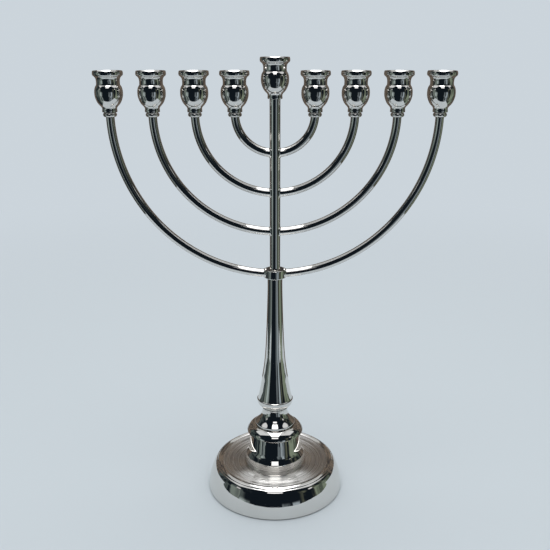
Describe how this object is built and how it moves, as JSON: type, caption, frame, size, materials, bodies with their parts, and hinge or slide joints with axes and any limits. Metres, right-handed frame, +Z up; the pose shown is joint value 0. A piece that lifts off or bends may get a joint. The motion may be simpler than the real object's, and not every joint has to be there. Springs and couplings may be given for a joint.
{
  "type": "menorah",
  "caption": "Branched candelabrum: curved arms carry flared candle cups in a row with a raised centre cup, on a tapered stem and a round dished foot.",
  "frame": {"origin": "centre of the felt underside of the foot", "axes": "+Z up the stem, X along the row of candle cups, Y across it"},
  "size_m": [0.2876, 0.1224, 0.3808],
  "materials": {
    "nickel": "mirror-polished nickel plate",
    "zinc": "zinc-plated, satin",
    "felt": "matt wool felt",
    "board": "plain fibreboard"
  },
  "bodies": {
    "base": {"foot": "nickel", "felt_pad": "felt", "closing_board": "board", "bell": "nickel", "knop": "nickel", "neck_ring": "nickel", "stem": "nickel", "base_washer": "zinc", "spring_washer": "zinc", "base_nut": "zinc", "tie_rod": "zinc"},
    "lock_washer": {"lock_washer": "zinc"},
    "head": {"head_stud": "zinc", "arm_collar": "nickel", "upper_stem": "nickel", "shamash_cup": "nickel", "shamash_stud": "zinc", "arm_left_1": "nickel", "arm_left_2": "nickel", "arm_left_3": "nickel", "arm_left_4": "nickel", "arm_right_1": "nickel", "arm_right_2": "nickel", "arm_right_3": "nickel", "arm_right_4": "nickel", "ferrule_left_1": "nickel", "ferrule_left_2": "nickel", "ferrule_left_3": "nickel", "ferrule_left_4": "nickel", "ferrule_right_1": "nickel", "ferrule_right_2": "nickel", "ferrule_right_3": "nickel", "ferrule_right_4": "nickel", "cup_left_1": "nickel", "cup_left_2": "nickel", "cup_left_3": "nickel", "cup_left_4": "nickel", "cup_right_1": "nickel", "cup_right_2": "nickel", "cup_right_3": "nickel", "cup_right_4": "nickel", "cup_stud_left_1": "zinc", "cup_stud_left_2": "zinc", "cup_stud_left_3": "zinc", "cup_stud_left_4": "zinc", "cup_stud_right_1": "zinc", "cup_stud_right_2": "zinc", "cup_stud_right_3": "zinc", "cup_stud_right_4": "zinc"}
  },
  "joints": [
    {"name": "head_lift", "type": "slide", "parent": "base", "child": "lock_washer", "axis": [0, 0, 1], "range_m": [0, 0.00825]},
    {"name": "head_turn", "type": "hinge", "parent": "lock_washer", "child": "head", "pos_m": [0, 0, 0.1999], "axis": [0, 0, 1], "range_deg": [0, 2970]}
  ],
  "couplings": [
    {"joint": "head_lift", "follows": "head_turn", "m_per_rad": 0.00015915}
  ]
}
